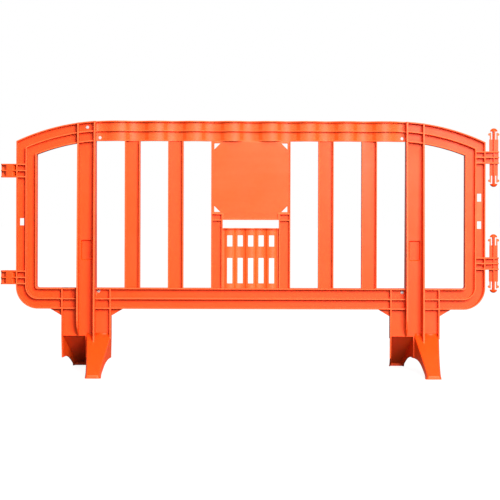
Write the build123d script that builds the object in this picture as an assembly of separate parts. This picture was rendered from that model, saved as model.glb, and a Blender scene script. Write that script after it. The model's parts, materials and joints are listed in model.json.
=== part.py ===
from build123d import *
import os
from math import atan2, cos, degrees, sqrt

# Portable open-rib barrier panel on two nesting legs. Millimetres, +X along the panel, -Y its front,
# +Z up. The panel is drawn about its own middle; CENTRE_SHIFT then centres the whole length on x = 0.

# Panel outline
HEIGHT = 1060.6
HALF_LENGTH = 988.6
RAIL_BOTTOM = 267.3
ARCH_START = 600.5            # the top edge is flat up to here and then falls along an arc
ARCH_RADIUS = 909.0
ARCH_CENTRE_Z = 151.6
CORNER_RADIUS = 93.0
INNER_CORNER_RADIUS = 9.0

# Ribbed frame section that runs round the panel
FRAME_BAND = 85.0
SILL_STRETCH = 1.03           # the sill's ribs stand this much farther apart than the others
RIB = 5.0
MID_RIB_INSET = 39.0
WEB = 4.6
RIB_REACH = 28.0              # how far the ribs stand from the middle plane

# Serpentine top rail between the posts
WAVE_HALF_PERIOD = 80.15
WAVE_HEIGHT = 12.0
WAVE_ARCS = 17
WAVE_WEB = 5.0
WAVE_RIB_REACH = 20.0

# Posts and legs
POST_X = 693.0
POST_WIDTH = 76.4
POST_RIB = 6.6
POST_REACH_TOP = 36.0
POST_REACH_BASE = 58.0
POST_CROSS_RIB_REACH = 30.0
PAD_WIDTH = 49.0
PAD_HEIGHT = 86.0
PAD_Z = 514.0
PAD_DEPTH = 12.0
PAD_TAPER = 20.0              # lean of the recess's walls
PAD_CORNER = 7.0
PAD_PLATE = 3.0
LEG_WIDTH = 208.0
LEG_BOTTOM = 152.0
FLANGE_CURVE_Z = 222.0
FLANGE_CURVE_MIDDLE = (36.0, 181.0)    # reach and height half-way round the flange's curve
GUSSET_WIDTH = 52.0
GUSSET_HEIGHT = 31.0
EJECTOR_MARK = (-74.0, 176.5)          # from the leg's axis, height
EJECTOR_MARK_RADIUS = 10.0
EJECTOR_MARK_DEPTH = 0.7

# Feet, hollow below and at the root, the front one under the right half of its leg
FOOT_LENGTH = 280.0
FOOT_WALL = 4.5
FOOT_ROOT_Z = 159.0
FOOT_TIP_Z = 14.0
FOOT_TIP_BASE = 67.0
FOOT_TIP_TOP = 48.0
FOOT_EDGE_RADIUS = 6.0
FOOT_TIP_RADIUS = 12.0
FOOT_ARCH_Z = 60.0
FOOT_HEEL = 264.0             # the side walls leave the floor here, measured from the middle plane
FOOT_ARCH_POINTS = ((208.0, 24.5), (150.0, 45.0), (90.0, 57.0))
FOOT_ARCH_END = 40.0          # the arch is level from here inward
JAMB_REACH_BASE = 8.0
SEAT_DEPTH = 2.0              # ribs are cut to a foot's top from this far below it

# Slats between the rails
SLAT_CENTRES = (-499.7, -317.0, 317.0, 499.7)
SLAT_WIDTH = 64.3
SLAT_RIB = 4.6
SLAT_REACH = 24.0

# Sign board, its two uprights and the grille between them
BOARD_HALF = 167.2
BOARD_BOTTOM = 666.5
BOARD_TAB_HALF = 118.9
BOARD_TAB_BOTTOM = 643.2
BOARD_FRONT = -14.0
BOARD_PLATE = 4.6
BOARD_RIB = 4.6
BOARD_RIB_DEPTH = 34.0
BOARD_RIB_FRONT = -20.0
TRIANGLE_LEG = 25.0
TRIANGLE_INSET = 13.0
TRIANGLE_TOP_Z = 966.0
TRIANGLE_LOW_Z = 677.0
UPRIGHT_REACH = 20.0
UPRIGHT_TOP_RIB_Z = 640.0
GRILLE_TOP = 608.7
GRILLE_PITCH = 44.15
GRILLE_WAVE = 8.0
GRILLE_COLUMNS = 5
GRILLE_SLOT = 22.3
GRILLE_SLOT_RADIUS = 2.0
GRILLE_ROWS = ((375.0, 482.3), (530.8, 578.1))
GRILLE_RIB_REACH = 13.0

# Strap slots in the stiles: x, z, width, height
LEFT_STRAP_SLOTS = ((-967.0, 632.8, 17.0, 30.0),)
RIGHT_STRAP_SLOTS = ((965.4, 739.9, 18.0, 33.5), (965.4, 624.2, 18.0, 32.0))

# Hinge sockets on the left end
SOCKET_Z = {"upper": 820.0, "lower": 369.6}
SOCKET_HEIGHT = 57.4
SOCKET_REACH = 66.0
SOCKET_AXIS = 1017.0
SOCKET_BORE = 20.0
SOCKET_SLEEVE = 24.5
SOCKET_NOSE = 16.0
SOCKET_WALL_HALF = 12.6

# Hinge pins and their brackets on the right end
PIN_AXIS = 1026.8
PIN_Z = {"upper": 909.4, "lower": 461.8}
BRACKET_HEIGHT = 51.8
BRACKET_REACH = 58.6
BRACKET_NOSE_REACH = 19.0
PIN_HALF_WIDTH = 18.9         # of the half that points away from the panel's middle height
PIN_SLIM_HALF_WIDTH = 17.2    # of the other half
PIN_PLATE = 7.0
PIN_RIB = 5.6
PIN_RIB_REACH = 15.5
PIN_SHOULDER = 76.6
PIN_CORE_HALF = 5.9
PIN_NECK = 110.7
PIN_END = 124.0
PIN_HEAD_RADIUS = 15.5
PIN_HEAD_RIM = 2.6

# Snap arms beside the pin core
ARM_X = 14.0
ARM_HALF = 2.5
ARM_CLEARANCE = 0.1
ARM_TIP = 103.3
BULB_X = 18.2
BULB_Z = 98.0
BULB_RADIUS = 5.4

# Blind rivets: x, z, middle plane of the web there
RIVETS = (
    (-691.5, 1032.7, 0.0),
    (-639.5, 989.0, WAVE_HEIGHT),
    (639.5, 988.0, WAVE_HEIGHT),
    (-642.5, 341.0, 0.0),
    (640.0, 339.0, 0.0),
)
RIVET_HEAD_RADIUS = 7.2
RIVET_HEAD_HEIGHT = 2.6
RIVET_HEAD_ROUNDING = 2.1
RIVET_SHANK_RADIUS = 2.4
WASHER_RADIUS = 6.5
WASHER_THICKNESS = 1.2
TAIL_RADIUS = 3.9
TAIL_HEIGHT = 2.2

# Worked out
INNER_X = HALF_LENGTH - FRAME_BAND
SILL_Z = RAIL_BOTTOM + FRAME_BAND * SILL_STRETCH
LINTEL_Z = HEIGHT - FRAME_BAND
POST_HALF = POST_WIDTH / 2
LEG_HALF = LEG_WIDTH / 2
STILE_BOTTOM = SILL_Z + INNER_CORNER_RADIUS
MIDDLE_Z = (SILL_Z + LINTEL_Z) / 2
FOOT_SLOPE = (FOOT_ROOT_Z - FOOT_TIP_Z) / FOOT_LENGTH
FAR = 1200.0
PIN_REACH = PIN_AXIS + BULB_X + BULB_RADIUS - HALF_LENGTH
CENTRE_SHIFT = (SOCKET_REACH - PIN_REACH) / 2


def block(x_low, x_high, y_low, y_high, z_low, z_high):
    """A box given by its limits."""
    middle = Pos((x_low + x_high) / 2, (y_low + y_high) / 2, (z_low + z_high) / 2)
    return middle * Box(x_high - x_low, y_high - y_low, z_high - z_low)


def upright_face(*points):
    """A polygon in the XZ plane."""
    return Plane.XZ * make_face(Polyline(*points, close=True))


def side_plate(points, x_low, x_high):
    """A polygon in the YZ plane, extruded from x_low to x_high."""
    face = Plane.YZ.offset(x_low) * make_face(Polyline(*points, close=True))
    return extrude(face, x_high - x_low)


def panel_face(inset):
    """The panel's outline as a face in XZ, moved inward by inset."""
    half = HALF_LENGTH - inset
    top = HEIGHT - inset
    bottom = RAIL_BOTTOM + inset * SILL_STRETCH
    radius = ARCH_RADIUS - inset
    corner = max(CORNER_RADIUS - inset, INNER_CORNER_RADIUS)
    shoulder = ARCH_CENTRE_Z + sqrt(radius**2 - (half - ARCH_START) ** 2)
    turn = degrees(atan2(shoulder - ARCH_CENTRE_Z, half - ARCH_START))
    edges = [
        Line((-ARCH_START, top), (ARCH_START, top)),
        CenterArc((ARCH_START, ARCH_CENTRE_Z), radius, turn, 90 - turn),
        Line((half, shoulder), (half, bottom + corner)),
        CenterArc((half - corner, bottom + corner), corner, -90, 90),
        Line((half - corner, bottom), (corner - half, bottom)),
        CenterArc((corner - half, bottom + corner), corner, 180, 90),
        Line((-half, bottom + corner), (-half, shoulder)),
        CenterArc((-ARCH_START, ARCH_CENTRE_Z), radius, 90, 90 - turn),
    ]
    return Plane.XZ * make_face(edges)


def rib_rings():
    """The three rib outlines of the frame as one set of faces."""
    rings = panel_face(0) - panel_face(RIB)
    rings += panel_face(MID_RIB_INSET) - panel_face(MID_RIB_INSET + RIB)
    rings += panel_face(FRAME_BAND - RIB) - panel_face(FRAME_BAND)
    return rings


def frame_ribs(reach):
    """The frame's ribs all round, standing reach to the front and to the back."""
    return extrude(rib_rings(), reach, both=True)


def frame_web(thickness):
    """The frame's web all round."""
    return extrude(panel_face(0) - panel_face(FRAME_BAND), thickness / 2, both=True)


def wave_solid(half_period, height, arcs, reach, z_low, z_high):
    """A strip that winds along X in alternating arcs, reach thick each way; height is at x = 0."""
    start = -arcs * half_period / 2
    edges = []
    for side in (-reach, reach):
        for index in range(arcs):
            x_low = start + index * half_period
            swing = height * (-1) ** (index - arcs // 2)
            crest = (x_low + half_period / 2, side + swing)
            edges.append(ThreePointArc((x_low, side), crest, (x_low + half_period, side)))
    edges.append(Line((start, -reach), (start, reach)))
    edges.append(Line((-start, -reach), (-start, reach)))
    return extrude(Plane.XY.offset(z_low) * make_face(edges), z_high - z_low)


def make_top_rail():
    """Serpentine rail between the posts: a winding web with three winding ribs."""
    half = POST_X - POST_HALF
    zone = block(-half, half, -FAR, FAR, LINTEL_Z, HEIGHT)
    web = wave_solid(WAVE_HALF_PERIOD, WAVE_HEIGHT, WAVE_ARCS, WAVE_WEB / 2, LINTEL_Z, HEIGHT)
    ribs = wave_solid(WAVE_HALF_PERIOD, WAVE_HEIGHT, WAVE_ARCS, WAVE_RIB_REACH, LINTEL_Z, HEIGHT)
    web &= frame_web(FAR)
    ribs &= frame_ribs(FAR)
    return (web + ribs) & zone


def frame_piece(frame, x_low, x_high, z_low, z_high):
    """The stretch of the plain frame between the given limits."""
    return frame & block(x_low, x_high, -FAR, FAR, z_low, z_high)


def stile_ribs(side, base_z, height):
    """Three short ribs across a stile's outer bay, in line with a hinge fitting outside it."""
    x_low = HALF_LENGTH - MID_RIB_INSET - RIB / 2
    x_high = HALF_LENGTH - RIB / 2
    ribs = []
    for z_low in plate_levels(base_z, height):
        ribs.append(block(x_low, x_high, -RIB_REACH, RIB_REACH, z_low, z_low + RIB))
    return [rib if side > 0 else mirror(rib, Plane.YZ) for rib in ribs]


def plate_levels(base_z, height):
    """Undersides of three plates spread evenly over a height."""
    step = (height - RIB) / 2
    return [base_z + index * step for index in range(3)]


def make_stile(frame, side):
    """End stile with its strap slots and the short ribs behind the hinge fittings."""
    x_low, x_high = sorted((side * INNER_X, side * HALF_LENGTH))
    stile = frame_piece(frame, x_low, x_high, STILE_BOTTOM, HEIGHT)
    for level in ("upper", "lower"):
        if side > 0:
            stile += stile_ribs(side, PIN_Z[level] - BRACKET_HEIGHT / 2, BRACKET_HEIGHT)
        else:
            stile += stile_ribs(side, SOCKET_Z[level], SOCKET_HEIGHT)
    for x, z, width, height in RIGHT_STRAP_SLOTS if side > 0 else LEFT_STRAP_SLOTS:
        half = width / 2
        stile -= block(x - half, x + half, -FAR, FAR, z - height / 2, z + height / 2)
    return stile


def make_post():
    """H-section post from the sill to the top edge, about x = 0, with a blank recessed pad."""
    flange = [
        (-POST_REACH_BASE, SILL_Z),
        (POST_REACH_BASE, SILL_Z),
        (POST_REACH_TOP, HEIGHT),
        (-POST_REACH_TOP, HEIGHT),
    ]
    inner = POST_HALF - POST_RIB
    post = block(-inner, inner, -WEB / 2, WEB / 2, SILL_Z, HEIGHT)
    post += side_plate(flange, inner, POST_HALF)
    post += side_plate(flange, -POST_HALF, -inner)
    front = -WEB / 2
    back = front + PAD_DEPTH + PAD_PLATE
    low = PAD_Z - PAD_HEIGHT / 2
    post += block(-PAD_WIDTH / 2, PAD_WIDTH / 2, front, back, low, low + PAD_HEIGHT)
    inward = Plane(origin=(0, front, PAD_Z), x_dir=(1, 0, 0), z_dir=(0, 1, 0))
    recess = RectangleRounded(PAD_WIDTH, PAD_HEIGHT, PAD_CORNER)
    return post - extrude(inward * recess, PAD_DEPTH, taper=PAD_TAPER)


def make_placed_post(side):
    """A post at its place, trimmed to the panel's top edge, with cross ribs level with the rail's."""
    x = side * POST_X
    inner = POST_HALF - POST_RIB / 2
    bay = block(x - inner, x + inner, -FAR, FAR, MIDDLE_Z, HEIGHT)
    post = Pos(x, 0, 0) * make_post() & extrude(panel_face(0), FAR, both=True)
    return post + (frame_ribs(POST_CROSS_RIB_REACH) & bay)


def foot_top(distance):
    """Height of a foot's top at a distance from the panel's middle plane."""
    return FOOT_ROOT_Z - FOOT_SLOPE * distance


def foot_body(root_half, tip_base_half, tip_top_half, low, drop, start, end):
    """A tapering block under the sloping top, drop below it, from start to end in front of the panel."""
    root = [(-root_half, low), (root_half, low), (root_half, foot_top(start) - drop)]
    root.append((-root_half, foot_top(start) - drop))
    tip = [(-tip_base_half, low), (tip_base_half, low), (tip_top_half, foot_top(end) - drop)]
    tip.append((-tip_top_half, foot_top(end) - drop))
    root_face = Plane.XZ.offset(start) * make_face(Polyline(*root, close=True))
    tip_face = Plane.XZ.offset(end) * make_face(Polyline(*tip, close=True))
    return loft([root_face, tip_face], ruled=True)


def foot_block():
    """Outside of a front foot as a solid, about its own centre line."""
    body = foot_body(LEG_HALF / 2, FOOT_TIP_BASE / 2, FOOT_TIP_TOP / 2, -RIB, 0, WEB / 2, FOOT_LENGTH)
    corners = body.edges().filter_by(lambda edge: edge.center().Y < -FOOT_LENGTH + 1)
    upright = [edge for edge in corners if abs(edge.center().X) > FOOT_TIP_TOP / 2]
    body = fillet(upright, FOOT_TIP_RADIUS)
    top = body.faces().sort_by(Axis.Z)[-1]
    rims = [edge for edge in top.edges() if edge.center().Y < -WEB]
    return fillet(rims, FOOT_EDGE_RADIUS)


def foot_arch():
    """Space cut from below the side walls, so that only the tip stands on the floor."""
    back = 2 * POST_REACH_BASE
    heel = (-FOOT_HEEL, -RIB)
    crown = (-FOOT_ARCH_END, FOOT_ARCH_Z)
    rise = [(-distance, z) for distance, z in FOOT_ARCH_POINTS]
    edges = [
        Polyline(crown, (back, FOOT_ARCH_Z), (back, -RIB), heel),
        Spline(heel, *rise, crown, tangents=((1, 1), (1, 0))),
    ]
    return extrude(Plane.YZ * make_face(edges), LEG_WIDTH, both=True)


def make_foot():
    """Front foot of a leg whose axis is at x = 0; it lies under the leg's right half."""
    wall = FOOT_WALL
    drop = wall / cos(atan2(FOOT_SLOPE, 1))
    root = LEG_HALF / 2 - wall
    base = FOOT_TIP_BASE / 2 - wall
    crest = FOOT_TIP_TOP / 2 - wall
    hollow = foot_body(root, base, crest, -RIB, drop, -wall, FOOT_LENGTH - wall)
    foot = Pos(LEG_HALF / 2, 0, 0) * (foot_block() - hollow)
    jamb = [
        (-WEB / 2, FOOT_ARCH_Z),
        (-WEB / 2, LEG_BOTTOM),
        (RIB_REACH, LEG_BOTTOM),
        (JAMB_REACH_BASE, FOOT_ARCH_Z),
    ]
    foot += side_plate(jamb, LEG_HALF - wall, LEG_HALF)
    return foot - foot_arch() - block(-FAR, FAR, -FAR, FAR, -FAR, 0)


def seated_rib(reach, x_low, x_high):
    """Half of a leg rib in front of the middle plane, running down into the top of the front foot."""
    points = [
        (0, LEG_BOTTOM),
        (0, SILL_Z),
        (-reach, SILL_Z),
        (-reach, foot_top(reach) - SEAT_DEPTH),
        (-WEB / 2, foot_top(WEB / 2) - SEAT_DEPTH),
    ]
    return side_plate(points, x_low, x_high)


def curved_flange(x_low, x_high):
    """Half of a post flange in front of the middle plane, curving back to the web above the doorway."""
    reach = POST_REACH_BASE
    middle_reach, middle_z = FLANGE_CURVE_MIDDLE
    edges = [
        Polyline((0, LEG_BOTTOM), (0, SILL_Z), (-reach, SILL_Z), (-reach, FLANGE_CURVE_Z)),
        ThreePointArc((-reach, FLANGE_CURVE_Z), (-middle_reach, middle_z), (0, LEG_BOTTOM)),
    ]
    return extrude(Plane.YZ.offset(x_low) * make_face(edges), x_high - x_low)


def make_leg(foot):
    """Leg about x = 0 below the sill: web, ribs, post flanges, middle stud, gussets, a mould mark."""
    inner = POST_HALF - POST_RIB
    margin = LEG_HALF - RIB
    halves = [
        seated_rib(POST_REACH_BASE, inner, POST_HALF),
        seated_rib(RIB_REACH, margin, LEG_HALF),
        curved_flange(-POST_HALF, -inner),
        block(-LEG_HALF, -margin, -RIB_REACH, 0, LEG_BOTTOM, SILL_Z),
    ]
    leg = block(-LEG_HALF, LEG_HALF, -WEB / 2, WEB / 2, LEG_BOTTOM, SILL_Z)
    leg += block(-FOOT_WALL, FOOT_WALL, -WEB / 2, WEB / 2, FOOT_ARCH_Z, LEG_BOTTOM)
    for half in halves:
        leg += half
        leg += Rot(0, 0, 180) * half
    for z_low in (RAIL_BOTTOM, RAIL_BOTTOM + MID_RIB_INSET * SILL_STRETCH, SILL_Z - RIB):
        for x_low, x_high in ((-LEG_HALF, -inner), (inner, LEG_HALF)):
            leg += block(x_low, x_high, -RIB_REACH, RIB_REACH, z_low, z_low + RIB)
    for side in (-1, 1):
        edge = side * margin
        tip = side * (LEG_HALF + GUSSET_WIDTH)
        low = (side * LEG_HALF, RAIL_BOTTOM - GUSSET_HEIGHT)
        gusset = upright_face((edge, RAIL_BOTTOM), (tip, RAIL_BOTTOM), low, (edge, low[1]))
        leg += extrude(gusset, WEB / 2, both=True)
    mark_x, mark_z = EJECTOR_MARK
    front = -WEB / 2
    leg -= Pos(mark_x, 0, mark_z) * turned(EJECTOR_MARK_RADIUS, 2 * front, front + EJECTOR_MARK_DEPTH)
    return leg - foot - Rot(0, 0, 180) * foot


def make_slat(x):
    """Flanged channel between the sill and the top rail."""
    half = SLAT_WIDTH / 2
    slat = block(x - half, x + half, -WEB / 2, WEB / 2, SILL_Z, LINTEL_Z)
    slat += block(x - half, x - half + SLAT_RIB, -SLAT_REACH, SLAT_REACH, SILL_Z, LINTEL_Z)
    slat += block(x + half - SLAT_RIB, x + half, -SLAT_REACH, SLAT_REACH, SILL_Z, LINTEL_Z)
    return slat


def strap_triangle(side, z, rise):
    """Right-angled strap hole with its square corner outward; rise is +1 at the foot of the board."""
    corner = side * (BOARD_HALF - TRIANGLE_INSET)
    face = upright_face((corner, z), (corner - side * TRIANGLE_LEG, z), (corner, z + rise * TRIANGLE_LEG))
    return extrude(face, FAR, both=True)


def make_sign_board():
    """Flat board with a rim at its sides and foot, a middle tab and four strap holes."""
    back = BOARD_FRONT + BOARD_PLATE
    rim_back = BOARD_RIB_FRONT + BOARD_RIB_DEPTH
    tab = BOARD_TAB_HALF
    board = block(-BOARD_HALF, BOARD_HALF, BOARD_FRONT, back, BOARD_BOTTOM, LINTEL_Z)
    board += block(-tab, tab, BOARD_FRONT, back, BOARD_TAB_BOTTOM, BOARD_BOTTOM)
    for x_low in (-BOARD_HALF, BOARD_HALF - BOARD_RIB):
        board += block(x_low, x_low + BOARD_RIB, BOARD_RIB_FRONT, rim_back, BOARD_BOTTOM, LINTEL_Z)
    for x_low, x_high in ((-BOARD_HALF, -tab), (tab, BOARD_HALF)):
        board += block(x_low, x_high, BOARD_RIB_FRONT, rim_back, BOARD_BOTTOM, BOARD_BOTTOM + BOARD_RIB)
    low = BOARD_TAB_BOTTOM
    for x_low in (-tab, tab - BOARD_RIB):
        board += block(x_low, x_low + BOARD_RIB, BOARD_RIB_FRONT, rim_back, low, BOARD_BOTTOM + BOARD_RIB)
    board += block(-tab, tab, BOARD_RIB_FRONT, rim_back, low, low + BOARD_RIB)
    for side in (-1, 1):
        board -= strap_triangle(side, TRIANGLE_TOP_Z, -1)
        board -= strap_triangle(side, TRIANGLE_LOW_Z, 1)
    return board


def make_upright(side):
    """Channel from the sill to the sign board, beside the grille and the hand slot."""
    x_low, x_high = sorted((side * BOARD_TAB_HALF, side * BOARD_HALF))
    upright = block(x_low, x_high, -WEB / 2, WEB / 2, SILL_Z, BOARD_BOTTOM)
    for x in (x_low, x_high - SLAT_RIB):
        upright += block(x, x + SLAT_RIB, -UPRIGHT_REACH, UPRIGHT_REACH, SILL_Z, BOARD_BOTTOM)
    rib_z = UPRIGHT_TOP_RIB_Z
    upright += block(x_low, x_high, -UPRIGHT_REACH, UPRIGHT_REACH, rib_z, rib_z + SLAT_RIB)
    return upright


def make_grille():
    """Winding slotted panel with a winding rib along its top and flat edges at its sides."""
    wave_half = GRILLE_COLUMNS * GRILLE_PITCH / 2
    height = -GRILLE_WAVE
    grille = wave_solid(GRILLE_PITCH, height, GRILLE_COLUMNS, WEB / 2, SILL_Z, GRILLE_TOP)
    rib_z = GRILLE_TOP - SLAT_RIB
    grille += wave_solid(GRILLE_PITCH, height, GRILLE_COLUMNS, GRILLE_RIB_REACH, rib_z, GRILLE_TOP)
    for side in (-1, 1):
        x_low, x_high = sorted((side * wave_half, side * BOARD_TAB_HALF))
        grille += block(x_low, x_high, -WEB / 2, WEB / 2, SILL_Z, GRILLE_TOP)
        grille += block(x_low, x_high, -GRILLE_RIB_REACH, GRILLE_RIB_REACH, rib_z, GRILLE_TOP)
    for z_low, z_high in GRILLE_ROWS:
        for column in range(GRILLE_COLUMNS):
            x = (column - GRILLE_COLUMNS // 2) * GRILLE_PITCH
            slot = RectangleRounded(GRILLE_SLOT, z_high - z_low, GRILLE_SLOT_RADIUS)
            face = Plane.XZ * (Pos(x, (z_low + z_high) / 2) * slot)
            grille -= extrude(face, FAR, both=True)
    return grille


def make_socket(level):
    """Hinge socket: three plates round an open sleeve, with a narrow wall in front and behind."""
    base = SOCKET_Z[level]
    outer = HALF_LENGTH + SOCKET_REACH
    top = base + SOCKET_HEIGHT
    middle = Pos(-SOCKET_AXIS, 0, (base + top) / 2)
    outline = Rectangle(SOCKET_REACH, 2 * RIB_REACH)
    outline = fillet(outline.vertices().group_by(Axis.X)[0], SOCKET_NOSE)
    outline = Pos(-(HALF_LENGTH + outer) / 2, 0) * outline
    socket = middle * Cylinder(SOCKET_SLEEVE, SOCKET_HEIGHT)
    for z_low in plate_levels(base, SOCKET_HEIGHT):
        socket += extrude(Plane.XY.offset(z_low) * outline, RIB)
    wall = SOCKET_WALL_HALF
    socket += block(-SOCKET_AXIS - wall, -SOCKET_AXIS + wall, -RIB_REACH, RIB_REACH, base, top)
    socket += block(-outer, -HALF_LENGTH, -WEB / 2, WEB / 2, base, top)
    return socket - middle * Cylinder(SOCKET_BORE, 2 * SOCKET_HEIGHT)


def pin_shaft(level):
    """Cross-shaped shaft of a hinge pin at its place, with a shoulder at each end."""
    half = PIN_PLATE / 2
    shaft = block(-PIN_HALF_WIDTH, PIN_HALF_WIDTH, -half, half, 0, PIN_SHOULDER)
    shaft += block(-PIN_SLIM_HALF_WIDTH, PIN_SLIM_HALF_WIDTH, -half, half, -PIN_SHOULDER, 0)
    if level == "lower":
        shaft = mirror(shaft, Plane.XY)
    shaft += block(-PIN_CORE_HALF, PIN_CORE_HALF, -half, half, -PIN_NECK, PIN_NECK)
    shaft += block(-PIN_RIB / 2, PIN_RIB / 2, -PIN_RIB_REACH, PIN_RIB_REACH, -PIN_NECK, PIN_NECK)
    return Pos(PIN_AXIS, 0, PIN_Z[level]) * shaft


def pin_head():
    """Domed head at the upper end of a pin."""
    rise = PIN_END - PIN_NECK - PIN_HEAD_RIM
    crown = (PIN_HEAD_RADIUS**2 + rise**2) / (2 * rise)
    stud = Pos(0, 0, (PIN_NECK + PIN_END) / 2) * Cylinder(PIN_HEAD_RADIUS, PIN_END - PIN_NECK)
    return stud & Pos(0, 0, PIN_END - crown) * Sphere(crown)


def arm_seats(level):
    """Round-bottomed seats in a pin's shoulders for the roots of the snap arms."""
    seats = []
    for x in (-ARM_X, ARM_X):
        for z in (-PIN_SHOULDER, PIN_SHOULDER):
            seat = Rot(90, 0, 0) * Cylinder(ARM_HALF + ARM_CLEARANCE, PIN_RIB_REACH)
            seats.append(Pos(PIN_AXIS + x, 0, PIN_Z[level] + z) * seat)
    return seats


def make_pin(level):
    """Double-ended hinge pin without its snap arms."""
    head = pin_head()
    middle = Pos(PIN_AXIS, 0, PIN_Z[level])
    pin = pin_shaft(level) - arm_seats(level)
    pin += middle * head
    return pin + middle * Rot(180, 0, 0) * head


def make_arm(level, end, side):
    """Snap arm: a round-rooted finger with a bulb near its tip, as thick as the pin's plate."""
    finger = SlotCenterToCenter(ARM_TIP - PIN_SHOULDER, 2 * ARM_HALF, 90)
    finger = Pos(ARM_X, (PIN_SHOULDER + ARM_TIP) / 2) * finger
    finger += Pos(BULB_X, BULB_Z) * Circle(BULB_RADIUS)
    arm = extrude(Plane.XZ * finger, PIN_PLATE / 2, both=True)
    if end < 0:
        arm = mirror(arm, Plane.XY)
    if side < 0:
        arm = mirror(arm, Plane.YZ)
    return Pos(PIN_AXIS, 0, PIN_Z[level]) * arm


def make_bracket(level):
    """Three tapering plates and a web that hold a hinge pin off the right stile."""
    base = PIN_Z[level] - BRACKET_HEIGHT / 2
    nose = HALF_LENGTH + BRACKET_REACH
    outline = Polyline(
        (HALF_LENGTH, -RIB_REACH),
        (nose, -BRACKET_NOSE_REACH),
        (nose, BRACKET_NOSE_REACH),
        (HALF_LENGTH, RIB_REACH),
        close=True,
    )
    bracket = block(HALF_LENGTH, nose, -WEB / 2, WEB / 2, base, base + BRACKET_HEIGHT)
    for z_low in plate_levels(base, BRACKET_HEIGHT):
        bracket += extrude(Plane.XY.offset(z_low) * make_face(outline), RIB)
    return bracket - pin_shaft(level)


def turned(radius, y_low, y_high):
    """A round stud along Y between two depths."""
    return Pos(0, (y_low + y_high) / 2, 0) * Rot(90, 0, 0) * Cylinder(radius, y_high - y_low)


def make_rivet(x, z, plane_y):
    """Blind rivet: domed head in front, shank through the web, set tail behind the washer."""
    face = plane_y - WEB / 2
    back = plane_y + WEB / 2 + WASHER_THICKNESS
    head = turned(RIVET_HEAD_RADIUS, face - RIVET_HEAD_HEIGHT, face)
    front_rim = head.edges().filter_by(GeomType.CIRCLE).sort_by(Axis.Y)[0]
    rivet = fillet(front_rim, RIVET_HEAD_ROUNDING)
    rivet += turned(RIVET_SHANK_RADIUS, face, back)
    rivet += turned(TAIL_RADIUS, back, back + TAIL_HEIGHT)
    return Pos(x, 0, z) * rivet


def make_washer(x, z, plane_y):
    """Backing washer of one rivet."""
    face = plane_y + WEB / 2
    washer = turned(WASHER_RADIUS, face, face + WASHER_THICKNESS)
    washer -= turned(RIVET_SHANK_RADIUS, face - RIB, face + 2 * RIB)
    return Pos(x, 0, z) * washer


def all_nodes():
    """Every node's shape by name, in the panel's own frame."""
    frame = frame_web(WEB) + frame_ribs(RIB_REACH)
    foot = make_foot()
    leg = make_leg(foot)
    leg_inner = POST_X - LEG_HALF
    leg_outer = POST_X + LEG_HALF
    post_outer = POST_X + POST_HALF
    nodes = {"top_rail": make_top_rail()}
    nodes["bottom_rail"] = frame_piece(frame, -leg_inner, leg_inner, RAIL_BOTTOM, SILL_Z)
    for name, side in (("left", -1), ("right", 1)):
        arch = sorted((side * post_outer, side * INNER_X))
        corner = sorted((side * leg_outer, side * HALF_LENGTH))
        place = Pos(side * POST_X, 0, 0)
        nodes[name + "_top_arch"] = frame_piece(frame, *arch, MIDDLE_Z, HEIGHT)
        nodes[name + "_stile"] = make_stile(frame, side)
        nodes[name + "_bottom_corner"] = frame_piece(frame, *corner, RAIL_BOTTOM, STILE_BOTTOM)
        nodes[name + "_post"] = make_placed_post(side)
        nodes[name + "_leg"] = place * leg
        nodes[name + "_front_foot"] = place * foot
        nodes[name + "_rear_foot"] = place * Rot(0, 0, 180) * foot
        nodes[name + "_sign_upright"] = make_upright(side)
    for number, x in enumerate(SLAT_CENTRES, 1):
        nodes[f"slat_{number}"] = make_slat(x)
    nodes["sign_board"] = make_sign_board()
    nodes["grille"] = make_grille()
    for level in ("upper", "lower"):
        nodes[level + "_socket"] = make_socket(level)
        nodes[level + "_pin_bracket"] = make_bracket(level)
        nodes[level + "_hinge_pin"] = make_pin(level)
        for end_name, end in (("top", 1), ("bottom", -1)):
            for side_name, side in (("inner", -1), ("outer", 1)):
                nodes[f"{level}_pin_{end_name}_{side_name}_arm"] = make_arm(level, end, side)
    rivets = [make_rivet(*place) for place in RIVETS]
    washers = [make_washer(*place) for place in RIVETS]
    for name in ("top_rail", "bottom_rail", "left_post", "left_leg", "right_leg"):
        nodes[name] = nodes[name] - rivets - washers
    nodes["rivets"] = Compound(rivets)
    nodes["rivet_washers"] = Compound(washers)
    return nodes


os.makedirs("parts", exist_ok=True)
for node, shape in all_nodes().items():
    export_step(Pos(CENTRE_SHIFT, 0, 0) * shape, f"parts/{node}.step")
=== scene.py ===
import json
from math import cos, radians, sin

import bmesh
import bpy
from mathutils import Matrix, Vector
from mathutils.bvhtree import BVHTree


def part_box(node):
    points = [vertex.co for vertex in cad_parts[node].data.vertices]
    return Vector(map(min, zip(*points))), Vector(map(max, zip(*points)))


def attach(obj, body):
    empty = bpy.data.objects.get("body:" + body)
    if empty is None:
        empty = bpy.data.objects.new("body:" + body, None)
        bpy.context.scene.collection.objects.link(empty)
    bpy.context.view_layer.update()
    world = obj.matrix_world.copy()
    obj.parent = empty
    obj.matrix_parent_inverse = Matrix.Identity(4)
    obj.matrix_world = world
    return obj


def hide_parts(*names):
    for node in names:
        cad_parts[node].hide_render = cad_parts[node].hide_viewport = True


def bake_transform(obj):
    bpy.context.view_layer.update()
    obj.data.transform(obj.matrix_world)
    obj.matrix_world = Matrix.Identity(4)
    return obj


# Looks of an open-rib moulded barrier panel. Metres, in the CAD frame: +X along the panel, -Y its front.

# Camera
VIEW_DISTANCE = 6.88
VIEW_ROLL = radians(-0.16)        # the panel leans a touch clockwise in the frame
VIEW_HEIGHT = 0.716
FRAME_WIDTH = 2.1145              # width seen at the panel's middle plane
FRAME_MIDDLE_X = -0.0013
FRAME_MIDDLE_Z = 0.516
SENSOR = 36.0

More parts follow.
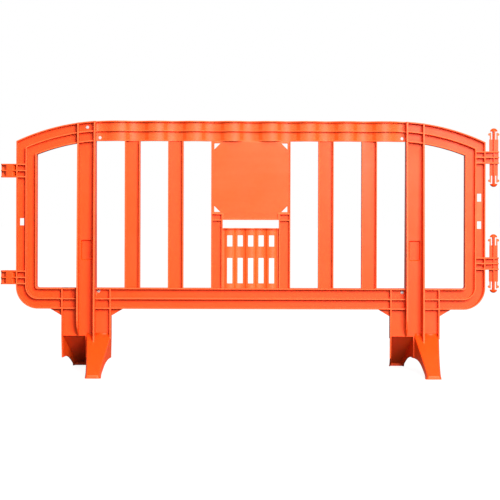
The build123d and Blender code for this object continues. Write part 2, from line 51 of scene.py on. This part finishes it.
# Surroundings
AMBIENT = 0.62
FLOOR_HALF = 40.0
FLOOR_BOUNCE = 0.12
FLOOR_GLOW = 0.9
FLOOR_ROUGHNESS = 0.9
WHITE = (1, 1, 1, 1)

# Lights: place, point looked at, side of the square and power
KEY_LIGHT = ((2.3, -7.2, 3.2), (0.0, 0, 0.65), 3.2, 1420)
TOP_LIGHT = ((0.6, -1.8, 3.8), (0.0, 0, 0.6), 2.0, 60)

# Plastic colours, from the body to the rib fronts, which are scuffed and lighter with a painted highlight;
# the smooth board and rail take the lighter ones as a painted sheen
BASE = (0.70, 0.053, 0.003)
LIGHT = (0.72, 0.060, 0.005)
# lighter still: a painted sheen on the board and rail, and the body of the rib fronts under their painted
# highlight
SMOOTH_SHEEN = (0.74, 0.084, 0.017)
# the rib fronts and rounded edges: scuffs together with a painted highlight
RUBBED_AND_HIGHLIGHT = (0.76, 0.105, 0.024)
DARK_SHARE = 0.94                 # the darker patches against the base colour
FLOW_SHARE = 0.35                 # how much of the flow streaks shows
SPECK_SHARE = 0.12                # how much of the fine specks shows

# Plastic finish
BODY_ROUGHNESS = 0.42
SMOOTH_ROUGHNESS = 0.36
RUBBED_ROUGHNESS = 0.46
SHINIER = 0.05
DULLER = 0.07
PLASTIC_IOR = 1.35
PLASTIC_SPECULAR = 0.3
GLOW_WEIGHT = 0.15                # light that scatters below the surface
GLOW_RADIUS = (1.0, 0.35, 0.12)
GLOW_SCALE = 0.004

# Noise patterns: scale and detail
MOTTLE = (3.2, 4.0)
FLOW = (2.0, 5.0)
FLOW_STRETCH = (1.2, 3.0, 14.0)
SPECKS = (60.0, 6.0)
PATCHES = (9.0, 5.0)
WAVES = (7.0, 2.0)
GRAIN = (900.0, 3.0)
STAINS = (240.0, 5.0)
METAL_PATCHES = (600.0, 4.0)
TURNING = (1500.0, 2.0)

# Where the ramps over the noise start and end
MOTTLE_ENDS = (0.32, 0.68)
FLOW_ENDS = (0.40, 0.72)
SPECK_ENDS = (0.35, 0.65)
PATCH_ENDS = (0.3, 0.7)

# Bumps: strength and distance
WAVE_BUMP = (0.35, 0.004)
GRAIN_BUMP = (0.10, 0.0004)
TURNING_BUMP = (0.15, 0.0003)

# Rivet metal
METAL_GREYS = (0.29, 0.37)
METAL_ROUGHNESS = (0.34, 0.52)
METALLIC = 0.15

# Edge rounding of the moulding
EDGE_RADIUS = 0.0013
FINE_EDGE_RADIUS = 0.0006
SHARP_TURN = radians(24)
FLAT_TURN = radians(0.6)
WELD = 0.00002
TOUCH = 0.00025
EDGE_SAMPLES = (0.25, 0.5, 0.75)  # where along an edge a neighbour is looked for
FEWEST_TOUCHES = 2                # from this many on, the edge lies against the neighbour
ROUNDING_STEPS = 2
RIB_FRONT_WIDTH = 0.0085
RIB_FRONT_FACING = 0.8            # least share of the normal that points forward or back
FITTINGS = ("socket", "bracket", "hinge_pin")
# The board and rail take the smooth plastic, whose lighter colour is a painted sheen
SMOOTH_SHEEN_NODES = ("sign_board", "top_rail")

# Snap arms
ARM_STEP = 0.002

# Coves where the leg webs meet the feet
COVE = 0.007
COVE_STEPS = 6
WEB_HALF = 0.0023
FOOT_SLOPE = radians(27.4)
# From the leg's middle: up to the post's flange, then from the flange to the side rib
COVE_SPANS = ((0.001, 0.0316), (0.0382, 0.099))

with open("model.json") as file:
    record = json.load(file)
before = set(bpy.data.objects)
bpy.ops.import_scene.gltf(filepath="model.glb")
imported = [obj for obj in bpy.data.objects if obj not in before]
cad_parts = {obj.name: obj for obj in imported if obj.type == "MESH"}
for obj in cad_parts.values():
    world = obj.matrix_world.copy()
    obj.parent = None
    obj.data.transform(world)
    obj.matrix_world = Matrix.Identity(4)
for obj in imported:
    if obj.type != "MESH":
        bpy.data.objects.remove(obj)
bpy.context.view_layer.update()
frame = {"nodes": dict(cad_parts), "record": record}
nodes = frame["nodes"]
body_of_node = {n: body for body, members in frame["record"]["behaviour"]["bodies"].items() for n in members}


# ---------------------------------------------------------------- materials


def new_material(name):
    """An empty node material and its Principled shader."""
    material = bpy.data.materials.new(name)
    material.use_nodes = True
    shader = material.node_tree.nodes["Principled BSDF"]
    return material, shader


def grey(value):
    """A colour of three equal parts."""
    return (value, value, value)


def noise_node(tree, pattern, stretch=(1, 1, 1)):
    """A noise pattern over the object's coordinates, squeezed along an axis if asked."""
    scale, detail = pattern
    place = tree.nodes.new("ShaderNodeTexCoord")
    mapping = tree.nodes.new("ShaderNodeMapping")
    mapping.inputs["Scale"].default_value = stretch
    texture = tree.nodes.new("ShaderNodeTexNoise")
    texture.inputs["Scale"].default_value = scale
    texture.inputs["Detail"].default_value = detail
    tree.links.new(place.outputs["Object"], mapping.inputs["Vector"])
    tree.links.new(mapping.outputs["Vector"], texture.inputs["Vector"])
    return texture.outputs["Fac"]


def ramp_node(tree, value, ends, colours):
    """A ramp over a value from one colour to another, between two positions."""
    ramp = tree.nodes.new("ShaderNodeValToRGB")
    for element, position, colour in zip(ramp.color_ramp.elements, ends, colours):
        element.position = position
        element.color = (*colour, 1)
    tree.links.new(value, ramp.inputs["Fac"])
    return ramp.outputs["Color"]


def blend_node(tree, share, first, second):
    """A mix of two colours with a fixed share of the second."""
    mix = tree.nodes.new("ShaderNodeMix")
    mix.data_type = "RGBA"
    mix.inputs["Factor"].default_value = share
    tree.links.new(first, mix.inputs["A"])
    tree.links.new(second, mix.inputs["B"])
    return mix.outputs["Result"]


def bump_node(tree, height, relief, below=None):
    """A bump from a height value, laid over another bump's normal if there is one."""
    strength, distance = relief
    bump = tree.nodes.new("ShaderNodeBump")
    bump.inputs["Strength"].default_value = strength
    bump.inputs["Distance"].default_value = distance
    tree.links.new(height, bump.inputs["Height"])
    if below is not None:
        tree.links.new(below, bump.inputs["Normal"])
    return bump.outputs["Normal"]


def orange_plastic(name, base, light, roughness):
    """Moulded polyolefin: flow streaks, soft mottling, fine grain and a patchy satin finish."""
    material, shader = new_material(name)
    tree = material.node_tree
    dark = tuple(part * DARK_SHARE for part in base)
    body = ramp_node(tree, noise_node(tree, MOTTLE), MOTTLE_ENDS, (dark, base))
    flow = ramp_node(tree, noise_node(tree, FLOW, FLOW_STRETCH), FLOW_ENDS, (base, light))
    specks = ramp_node(tree, noise_node(tree, SPECKS), SPECK_ENDS, (dark, light))
    streaked = blend_node(tree, FLOW_SHARE, body, flow)
    colour = blend_node(tree, SPECK_SHARE, streaked, specks)
    tree.links.new(colour, shader.inputs["Base Color"])
    finish = (grey(roughness - SHINIER), grey(roughness + DULLER))
    patches = ramp_node(tree, noise_node(tree, PATCHES), PATCH_ENDS, finish)
    tree.links.new(patches, shader.inputs["Roughness"])
    waves = bump_node(tree, noise_node(tree, WAVES), WAVE_BUMP)
    grain = bump_node(tree, noise_node(tree, GRAIN), GRAIN_BUMP, waves)
    tree.links.new(grain, shader.inputs["Normal"])
    shader.inputs["IOR"].default_value = PLASTIC_IOR
    shader.inputs["Specular IOR Level"].default_value = PLASTIC_SPECULAR
    shader.inputs["Subsurface Weight"].default_value = GLOW_WEIGHT
    shader.inputs["Subsurface Radius"].default_value = GLOW_RADIUS
    shader.inputs["Subsurface Scale"].default_value = GLOW_SCALE
    return material


def rivet_aluminium():
    """Dull light aluminium with turning marks and small stains."""
    material, shader = new_material("rivet_aluminium")
    tree = material.node_tree
    greys = [grey(value) for value in METAL_GREYS]
    stain = ramp_node(tree, noise_node(tree, STAINS), PATCH_ENDS, greys)
    tree.links.new(stain, shader.inputs["Base Color"])
    finishes = [grey(value) for value in METAL_ROUGHNESS]
    finish = ramp_node(tree, noise_node(tree, METAL_PATCHES), PATCH_ENDS, finishes)
    tree.links.new(finish, shader.inputs["Roughness"])
    marks = bump_node(tree, noise_node(tree, TURNING), TURNING_BUMP)
    tree.links.new(marks, shader.inputs["Normal"])
    shader.inputs["Metallic"].default_value = METALLIC
    return material


plastic = orange_plastic("orange_plastic", BASE, LIGHT, BODY_ROUGHNESS)
# The board and rail: a smoother finish, and lighter colours that paint a sheen on them
smooth_sheen_plastic = orange_plastic("orange_plastic_smooth_sheen", LIGHT, SMOOTH_SHEEN, SMOOTH_ROUGHNESS)
# Rib fronts and rounded edges: scuffs together with a painted highlight
rubbed_and_highlight_plastic = orange_plastic("orange_plastic_rubbed_and_highlight", SMOOTH_SHEEN, RUBBED_AND_HIGHLIGHT, RUBBED_ROUGHNESS)
metal = rivet_aluminium()


# ---------------------------------------------------------------- moulded pieces


def solid_mesh(node):
    """The node's surface as a bmesh with welded corners and whole flat faces."""
    bm = bmesh.new()
    bm.from_mesh(nodes[node].data)
    bmesh.ops.remove_doubles(bm, verts=bm.verts, dist=WELD)
    bmesh.ops.dissolve_limit(bm, angle_limit=FLAT_TURN, verts=bm.verts, edges=bm.edges)
    return bm


def surface_trees(names):
    """A search tree of each node's surface, with its box."""
    trees = {}
    for name in names:
        bm = bmesh.new()
        bm.from_mesh(nodes[name].data)
        trees[name] = (BVHTree.FromBMesh(bm), *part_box(name))
        bm.free()
    return trees


def mark_rib_fronts(bm):
    """Gives the lighter plastic to the narrow faces that look forward or back: scuffs together with a painted
    highlight on the rib fronts.
    """
    for face in bm.faces:
        width = 2 * face.calc_area() / face.calc_perimeter()
        if abs(face.normal.y) > RIB_FRONT_FACING and width < RIB_FRONT_WIDTH:
            face.material_index = 1


def touches(point, trees, own):
    """Whether a point lies on the surface of another node."""
    for name, (tree, low, high) in trees.items():
        inside = all(low[i] - TOUCH <= point[i] <= high[i] + TOUCH for i in range(3))
        if name != own and inside and tree.find_nearest(point, TOUCH)[0] is not None:
            return True
    return False


def mark_edges(bm, trees, own):
    """Gives the free sharp edges a bevel weight and keeps the edges against a neighbour sharp."""
    weight = bm.edges.layers.float.new("bevel_weight_edge")
    for face in bm.faces:
        face.smooth = True
    for edge in bm.edges:
        if len(edge.link_faces) != 2 or edge.calc_face_angle(0) < SHARP_TURN:
            continue
        start, end = (v.co for v in edge.verts)
        hits = sum(touches(start.lerp(end, share), trees, own) for share in EDGE_SAMPLES)
        if hits >= FEWEST_TOUCHES:
            edge.smooth = False
        else:
            edge[weight] = 1.0


def round_edges(piece, radius):
    """Rounds the marked edges; the rounding takes the lighter plastic, a painted highlight along the edges
    besides scuffing.
    """
    bevel = piece.modifiers.new("Rounding", "BEVEL")
    bevel.limit_method = "WEIGHT"
    bevel.width = radius
    bevel.segments = ROUNDING_STEPS
    # the rounded strips take the lighter plastic: a painted edge highlight and scuffs
    bevel.material = 1
    bevel.use_clamp_overlap = True
    normals = piece.modifiers.new("Flat faces", "WEIGHTED_NORMAL")
    normals.keep_sharp = True


def new_piece(name, bm, materials):
    """A mesh object from a bmesh, which is freed."""
    mesh = bpy.data.meshes.new(name)
    bm.to_mesh(mesh)
    bm.free()
    piece = bpy.data.objects.new(name, mesh)
    for material in materials:
        mesh.materials.append(material)
    bpy.context.scene.collection.objects.link(piece)
    return piece


def stand_for(node):
    """The piece replaces a CAD node, which is hidden."""
    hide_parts(node)


def moulded_piece(node, trees, radius):
    """A moulded copy of a CAD node with rounded edges; the hinge pins keep one plastic, without the lighter
    scuffed faces and painted highlights.
    """
    bm = solid_mesh(node)
    mark_edges(bm, trees, node)
    is_pin = node.endswith("hinge_pin")
    if not is_pin:
        mark_rib_fronts(bm)
    if node.endswith("_stile"):
        # Its rib fronts fork round the slots, and would fold if they stayed whole
        forked = [face for face in bm.faces if face.material_index == 1]
        bmesh.ops.connect_verts_concave(bm, faces=forked)
    # the board and rail get the smooth plastic with its painted sheen
    ground = smooth_sheen_plastic if node in SMOOTH_SHEEN_NODES else plastic
    piece = new_piece("moulded_" + node, bm, (ground, rubbed_and_highlight_plastic))
    round_edges(piece, radius)
    if is_pin:
        piece.modifiers["Rounding"].material = 0
    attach(piece, body_of_node[node])
    stand_for(node)


def rivet_piece(node):
    """Rivets or washers with smooth turned surfaces, which stand for a CAD node."""
    bm = solid_mesh(node)
    for face in bm.faces:
        face.smooth = True
    for edge in bm.edges:
        edge.smooth = edge.calc_face_angle(0) < SHARP_TURN
    piece = new_piece("turned_" + node, bm, (metal,))
    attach(piece, body_of_node[node])
    stand_for(node)


def arm_piece(node):
    """A snap arm cut into short slices across its height."""
    bm = solid_mesh(node)
    low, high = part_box(node)
    for step in range(1, round((high.z - low.z) / ARM_STEP)):
        geometry = bm.verts[:] + bm.edges[:] + bm.faces[:]
        height = Vector((0, 0, low.z + step * ARM_STEP))
        bmesh.ops.bisect_plane(bm, geom=geometry, dist=WELD, plane_co=height, plane_no=(0, 0, 1))
    for face in bm.faces:
        face.smooth = True
        # the whole arm takes the lighter plastic of the rib fronts, scuffed and with a painted highlight
        face.material_index = 1
    for edge in bm.edges:
        edge.smooth = edge.calc_face_angle(0) < SHARP_TURN
    piece = new_piece("moulded_" + node, bm, (plastic, rubbed_and_highlight_plastic))
    stand_for(node)
    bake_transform(piece)


def cove_section(root_z):
    """Points of a concave fillet between a leg's web and the foot's sloping top, front side."""
    corner = Vector((-WEB_HALF, root_z))
    top = corner + Vector((0, COVE))
    toe = corner - COVE * Vector((cos(FOOT_SLOPE), sin(FOOT_SLOPE)))
    section = [corner]
    for step in range(COVE_STEPS + 1):
        share = step / COVE_STEPS
        section.append(top.lerp(corner, share).lerp(corner.lerp(toe, share), share))
    return section


def foot_coves(side):
    """Coves along the roots of one leg's two feet, between the ribs that cross them."""
    bm = bmesh.new()
    for end, turn in (("front", 1), ("rear", -1)):
        low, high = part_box(f"{side}_{end}_foot")
        middle = low.x if end == "front" else high.x
        section = cove_section(high.z)
        for start, stop in COVE_SPANS:
            rings = []
            for x in (start, stop):
                rings.append([bm.verts.new((middle + turn * x, turn * y, z)) for y, z in section])
            for index in range(len(section)):
                after = (index + 1) % len(section)
                quad = (rings[0][index], rings[0][after], rings[1][after], rings[1][index])
                bm.faces.new(quad).smooth = index > 0 and after > 1
            bm.faces.new(rings[0])
            bm.faces.new(reversed(rings[1]))
    bmesh.ops.recalc_face_normals(bm, faces=bm.faces)
    piece = new_piece(side + "_foot_coves", bm, (plastic,))
    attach(piece, "panel")


arms = sorted(n for n in nodes if n.endswith("_arm"))
moulded = sorted(n for n in nodes if body_of_node[n] == "panel" and not n.startswith("rivet"))
neighbours = surface_trees(moulded)
for node in moulded:
    moulded_piece(node, neighbours, FINE_EDGE_RADIUS if node.endswith(FITTINGS) else EDGE_RADIUS)
for node in ("rivets", "rivet_washers"):
    rivet_piece(node)
for node in arms:
    arm_piece(node)
for side in ("left", "right"):
    foot_coves(side)


# ---------------------------------------------------------------- camera, light and floor


def make_camera():
    """A level camera at the height and distance of the view, shifted down to the frame."""
    data = bpy.data.cameras.new("camera")
    data.sensor_width = SENSOR
    data.lens = SENSOR * VIEW_DISTANCE / FRAME_WIDTH
    data.shift_y = (FRAME_MIDDLE_Z - VIEW_HEIGHT) / FRAME_WIDTH
    camera = bpy.data.objects.new("camera", data)
    camera.location = (FRAME_MIDDLE_X, -VIEW_DISTANCE, VIEW_HEIGHT)
    camera.rotation_euler = (radians(90), VIEW_ROLL, 0)
    bpy.context.scene.collection.objects.link(camera)
    bpy.context.scene.camera = camera


def area_light(name, setting):
    """A square soft light that looks at a point and isn't seen itself."""
    place, target, side, power = setting
    data = bpy.data.lights.new(name, "AREA")
    data.size = side
    data.energy = power
    light = bpy.data.objects.new(name, data)
    light.location = place
    aim = Vector(target) - Vector(place)
    light.rotation_euler = aim.to_track_quat("-Z", "Y").to_euler()
    light.visible_camera = False
    bpy.context.scene.collection.objects.link(light)


def seen_or_lighting(tree, seen, lighting):
    """A shader that is one thing to the camera and another to the light that bounces."""
    path = tree.nodes.new("ShaderNodeLightPath")
    mix = tree.nodes.new("ShaderNodeMixShader")
    tree.links.new(path.outputs["Is Camera Ray"], mix.inputs["Fac"])
    tree.links.new(lighting, mix.inputs[1])
    tree.links.new(seen, mix.inputs[2])
    return mix.outputs["Shader"]


def make_floor():
    """A plain white floor that shows only the faintest shadow."""
    bm = bmesh.new()
    bmesh.ops.create_grid(bm, x_segments=1, y_segments=1, size=FLOOR_HALF)
    material, shader = new_material("floor_white")
    tree = material.node_tree
    shader.inputs["Base Color"].default_value = (*grey(FLOOR_BOUNCE), 1)
    shader.inputs["Roughness"].default_value = FLOOR_ROUGHNESS
    glow = tree.nodes.new("ShaderNodeEmission")
    glow.inputs["Strength"].default_value = FLOOR_GLOW
    both = tree.nodes.new("ShaderNodeAddShader")
    tree.links.new(shader.outputs["BSDF"], both.inputs[0])
    tree.links.new(glow.outputs["Emission"], both.inputs[1])
    surface = seen_or_lighting(tree, both.outputs["Shader"], shader.outputs["BSDF"])
    tree.links.new(surface, tree.nodes["Material Output"].inputs["Surface"])
    floor = new_piece("floor", bm, (material,))


def make_world():
    """Surroundings that look white and light the object softly."""
    world = bpy.data.worlds.new("white")
    world.use_nodes = True
    tree = world.node_tree
    lighting = tree.nodes["Background"]
    lighting.inputs["Color"].default_value = WHITE
    lighting.inputs["Strength"].default_value = AMBIENT
    seen = tree.nodes.new("ShaderNodeBackground")
    seen.inputs["Color"].default_value = WHITE
    surface = seen_or_lighting(tree, seen.outputs["Background"], lighting.outputs["Background"])
    tree.links.new(surface, tree.nodes["World Output"].inputs["Surface"])
    bpy.context.scene.world = world


make_camera()
make_world()
make_floor()
area_light("key", KEY_LIGHT)
area_light("top", TOP_LIGHT)
bpy.context.scene.view_settings.view_transform = "Standard"
